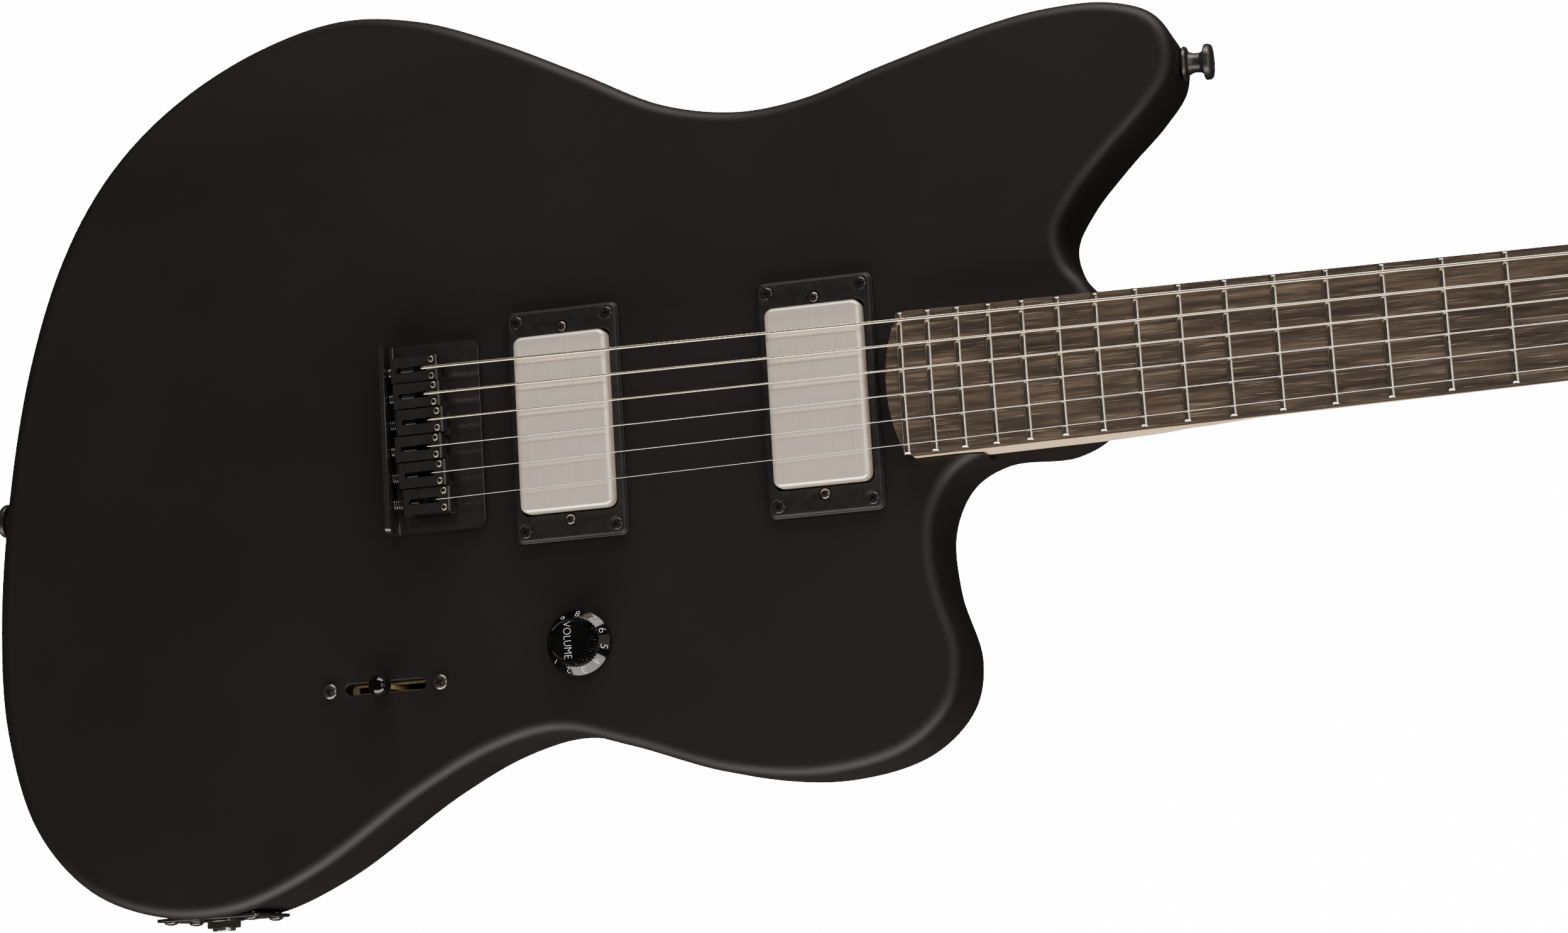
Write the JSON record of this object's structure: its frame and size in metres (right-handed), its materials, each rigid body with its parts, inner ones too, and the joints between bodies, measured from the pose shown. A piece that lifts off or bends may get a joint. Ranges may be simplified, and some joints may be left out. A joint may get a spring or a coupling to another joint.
{
  "type": "electric guitar",
  "caption": "Solid offset-body electric guitar on its back: bolt-on neck, fixed bridge, humbucking pickups in rings, one dial, a blade switch and sealed tuners.",
  "frame": {"origin": "on the flat back of the body, on the centre line, straight under the scale reference of the bridge", "axes": "+X along the strings from the bridge to the headstock, +Y to the bass side, +Z out of the face"},
  "size_m": [1.0467, 0.3652, 0.0585],
  "materials": {
    "battery_jacket": "printed metal jacket without lettering",
    "bright_steel": "bright drawn steel",
    "brushed_nickel": "brushed metal cover with polished edges",
    "ebony": "open-pored dark ebony, lightly oiled, with bright nickel frets",
    "gloss_black_metal": "gloss black plated steel",
    "gloss_black_plastic": "gloss black moulded plastic",
    "matte_black_plastic": "matte black moulded plastic",
    "nut_bone": "polished synthetic bone",
    "plated_switch_steel": "yellow-plated stamped steel",
    "satin_black_lacquer": "satin black lacquer over a light hardwood body",
    "satin_maple": "pale maple with a satin clear finish",
    "wound_nickel": "round-wound nickel-plated steel"
  },
  "bodies": {
    "guitar": {"battery": "battery_jacket", "body": "satin_black_lacquer", "bridge_pickup_ring": "matte_black_plastic", "bridge_plate": "gloss_black_metal", "control_cover": "matte_black_plastic", "ferrule_block": "gloss_black_metal", "fingerboard": "ebony", "jack_plate": "gloss_black_metal", "neck": "satin_maple", "neck_pickup_ring": "matte_black_plastic", "neck_plate": "gloss_black_metal", "nut": "nut_bone", "output_jack": "bright_steel", "strap_button_front": "gloss_black_metal", "strap_button_rear": "gloss_black_metal", "string_1": "wound_nickel", "string_2": "wound_nickel", "string_3": "wound_nickel", "string_4": "bright_steel", "string_5": "bright_steel", "string_6": "bright_steel", "switch_frame": "plated_switch_steel", "truss_rod": "bright_steel", "tuner_housing_1": "gloss_black_metal", "tuner_housing_2": "gloss_black_metal", "tuner_housing_3": "gloss_black_metal", "tuner_housing_4": "gloss_black_metal", "tuner_housing_5": "gloss_black_metal", "tuner_housing_6": "gloss_black_metal", "volume_pot": "bright_steel"},
    "tuner_key_1": {"tuner_key_1": "gloss_black_metal"},
    "tuner_post_1": {"tuner_post_1": "gloss_black_metal"},
    "saddle_1": {"saddle_1": "gloss_black_metal"},
    "intonation_screw_1": {"intonation_screw_1": "gloss_black_metal"},
    "tuner_key_2": {"tuner_key_2": "gloss_black_metal"},
    "tuner_post_2": {"tuner_post_2": "gloss_black_metal"},
    "saddle_2": {"saddle_2": "gloss_black_metal"},
    "intonation_screw_2": {"intonation_screw_2": "gloss_black_metal"},
    "tuner_key_3": {"tuner_key_3": "gloss_black_metal"},
    "tuner_post_3": {"tuner_post_3": "gloss_black_metal"},
    "saddle_3": {"saddle_3": "gloss_black_metal"},
    "intonation_screw_3": {"intonation_screw_3": "gloss_black_metal"},
    "tuner_key_4": {"tuner_key_4": "gloss_black_metal"},
    "tuner_post_4": {"tuner_post_4": "gloss_black_metal"},
    "saddle_4": {"saddle_4": "gloss_black_metal"},
    "intonation_screw_4": {"intonation_screw_4": "gloss_black_metal"},
    "tuner_key_5": {"tuner_key_5": "gloss_black_metal"},
    "tuner_post_5": {"tuner_post_5": "gloss_black_metal"},
    "saddle_5": {"saddle_5": "gloss_black_metal"},
    "intonation_screw_5": {"intonation_screw_5": "gloss_black_metal"},
    "tuner_key_6": {"tuner_key_6": "gloss_black_metal"},
    "tuner_post_6": {"tuner_post_6": "gloss_black_metal"},
    "saddle_6": {"saddle_6": "gloss_black_metal"},
    "intonation_screw_6": {"intonation_screw_6": "gloss_black_metal"},
    "bridge_pickup": {"bridge_pickup": "brushed_nickel"},
    "neck_pickup": {"neck_pickup": "brushed_nickel"},
    "volume_knob": {"volume_knob": "gloss_black_plastic", "pot_shaft": "bright_steel"},
    "switch_lever": {"switch_lever": "plated_switch_steel", "switch_tip": "gloss_black_plastic"}
  },
  "joints": [
    {"name": "tuner_key_1_turn", "type": "hinge", "parent": "guitar", "child": "tuner_key_1", "pos_m": [0.68787, 0.02813, 0.0222], "axis": [0.2495, 0.9684, 0], "continuous": true},
    {"name": "tuner_post_1_turn", "type": "hinge", "parent": "guitar", "child": "tuner_post_1", "pos_m": [0.686, 0.02087, 0.0515], "axis": [0, 0, 1], "continuous": true},
    {"name": "tuner_key_2_turn", "type": "hinge", "parent": "guitar", "child": "tuner_key_2", "pos_m": [0.71327, 0.02101, 0.0222], "axis": [0.2495, 0.9684, 0], "continuous": true},
    {"name": "tuner_post_2_turn", "type": "hinge", "parent": "guitar", "child": "tuner_post_2", "pos_m": [0.7114, 0.01374, 0.0508], "axis": [0, 0, 1], "continuous": true},
    {"name": "tuner_key_3_turn", "type": "hinge", "parent": "guitar", "child": "tuner_key_3", "pos_m": [0.73867, 0.01415, 0.0222], "axis": [0.2495, 0.9684, 0], "continuous": true},
    {"name": "tuner_post_3_turn", "type": "hinge", "parent": "guitar", "child": "tuner_post_3", "pos_m": [0.7368, 0.00689, 0.0501], "axis": [0, 0, 1], "continuous": true},
    {"name": "tuner_key_4_turn", "type": "hinge", "parent": "guitar", "child": "tuner_key_4", "pos_m": [0.76407, 0.00759, 0.0222], "axis": [0.2495, 0.9684, 0], "continuous": true},
    {"name": "tuner_post_4_turn", "type": "hinge", "parent": "guitar", "child": "tuner_post_4", "pos_m": [0.7622, 0.00032, 0.0494], "axis": [0, 0, 1], "continuous": true},
    {"name": "tuner_key_5_turn", "type": "hinge", "parent": "guitar", "child": "tuner_key_5", "pos_m": [0.78947, 0.00136, 0.0222], "axis": [0.2495, 0.9684, 0], "continuous": true},
    {"name": "tuner_post_5_turn", "type": "hinge", "parent": "guitar", "child": "tuner_post_5", "pos_m": [0.7876, -0.0059, 0.0487], "axis": [0, 0, 1], "continuous": true},
    {"name": "tuner_key_6_turn", "type": "hinge", "parent": "guitar", "child": "tuner_key_6", "pos_m": [0.81487, -0.00458, 0.0222], "axis": [0.2495, 0.9684, 0], "continuous": true},
    {"name": "tuner_post_6_turn", "type": "hinge", "parent": "guitar", "child": "tuner_post_6", "pos_m": [0.813, -0.01184, 0.048], "axis": [0, 0, 1], "continuous": true},
    {"name": "saddle_1_slide", "type": "slide", "parent": "guitar", "child": "saddle_1", "axis": [1, 0, 0], "range_m": [-0.0015, 0.003]},
    {"name": "intonation_screw_1_turn", "type": "hinge", "parent": "guitar", "child": "intonation_screw_1", "pos_m": [-0.0315, 0.02625, 0.0511], "axis": [1, 0, 0], "range_deg": [-1080.01, 2160.01]},
    {"name": "saddle_2_slide", "type": "slide", "parent": "guitar", "child": "saddle_2", "axis": [1, 0, 0], "range_m": [-0.0015, 0.003]},
    {"name": "intonation_screw_2_turn", "type": "hinge", "parent": "guitar", "child": "intonation_screw_2", "pos_m": [-0.0315, 0.01575, 0.0511], "axis": [1, 0, 0], "range_deg": [-1080.01, 2160.01]},
    {"name": "saddle_3_slide", "type": "slide", "parent": "guitar", "child": "saddle_3", "axis": [1, 0, 0], "range_m": [-0.0015, 0.003]},
    {"name": "intonation_screw_3_turn", "type": "hinge", "parent": "guitar", "child": "intonation_screw_3", "pos_m": [-0.0315, 0.00525, 0.0511], "axis": [1, 0, 0], "range_deg": [-1080.01, 2160.01]},
    {"name": "saddle_4_slide", "type": "slide", "parent": "guitar", "child": "saddle_4", "axis": [1, 0, 0], "range_m": [-0.0015, 0.003]},
    {"name": "intonation_screw_4_turn", "type": "hinge", "parent": "guitar", "child": "intonation_screw_4", "pos_m": [-0.0315, -0.00525, 0.0511], "axis": [1, 0, 0], "range_deg": [-1080.01, 2160.01]},
    {"name": "saddle_5_slide", "type": "slide", "parent": "guitar", "child": "saddle_5", "axis": [1, 0, 0], "range_m": [-0.0015, 0.003]},
    {"name": "intonation_screw_5_turn", "type": "hinge", "parent": "guitar", "child": "intonation_screw_5", "pos_m": [-0.0315, -0.01575, 0.0511], "axis": [1, 0, 0], "range_deg": [-1080.01, 2160.01]},
    {"name": "saddle_6_slide", "type": "slide", "parent": "guitar", "child": "saddle_6", "axis": [1, 0, 0], "range_m": [-0.0015, 0.003]},
    {"name": "intonation_screw_6_turn", "type": "hinge", "parent": "guitar", "child": "intonation_screw_6", "pos_m": [-0.0315, -0.02625, 0.0511], "axis": [1, 0, 0], "range_deg": [-1080.01, 2160.01]},
    {"name": "bridge_pickup_height", "type": "slide", "parent": "guitar", "child": "bridge_pickup", "axis": [0, 0, 1], "range_m": [-0.002, 0.002]},
    {"name": "neck_pickup_height", "type": "slide", "parent": "guitar", "child": "neck_pickup", "axis": [0, 0, 1], "range_m": [-0.002, 0.002]},
    {"name": "volume_turn", "type": "hinge", "parent": "guitar", "child": "volume_knob", "pos_m": [0.04514, -0.0863, 0.0445], "axis": [0, 0, 1], "range_deg": [0, 300]},
    {"name": "switch_throw", "type": "hinge", "parent": "guitar", "child": "switch_lever", "pos_m": [-0.03656, -0.0965, 0.0225], "axis": [0, 1, 0], "range_deg": [-18, 18]}
  ],
  "couplings": [
    {"joint": "tuner_post_1_turn", "follows": "tuner_key_1_turn", "ratio": 0.0625},
    {"joint": "tuner_post_2_turn", "follows": "tuner_key_2_turn", "ratio": 0.0625},
    {"joint": "tuner_post_3_turn", "follows": "tuner_key_3_turn", "ratio": 0.0625},
    {"joint": "tuner_post_4_turn", "follows": "tuner_key_4_turn", "ratio": 0.0625},
    {"joint": "tuner_post_5_turn", "follows": "tuner_key_5_turn", "ratio": 0.0625},
    {"joint": "tuner_post_6_turn", "follows": "tuner_key_6_turn", "ratio": 0.0625},
    {"joint": "intonation_screw_1_turn", "follows": "saddle_1_slide", "rad_per_m": 12566},
    {"joint": "intonation_screw_2_turn", "follows": "saddle_2_slide", "rad_per_m": 12566},
    {"joint": "intonation_screw_3_turn", "follows": "saddle_3_slide", "rad_per_m": 12566},
    {"joint": "intonation_screw_4_turn", "follows": "saddle_4_slide", "rad_per_m": 12566},
    {"joint": "intonation_screw_5_turn", "follows": "saddle_5_slide", "rad_per_m": 12566},
    {"joint": "intonation_screw_6_turn", "follows": "saddle_6_slide", "rad_per_m": 12566}
  ]
}
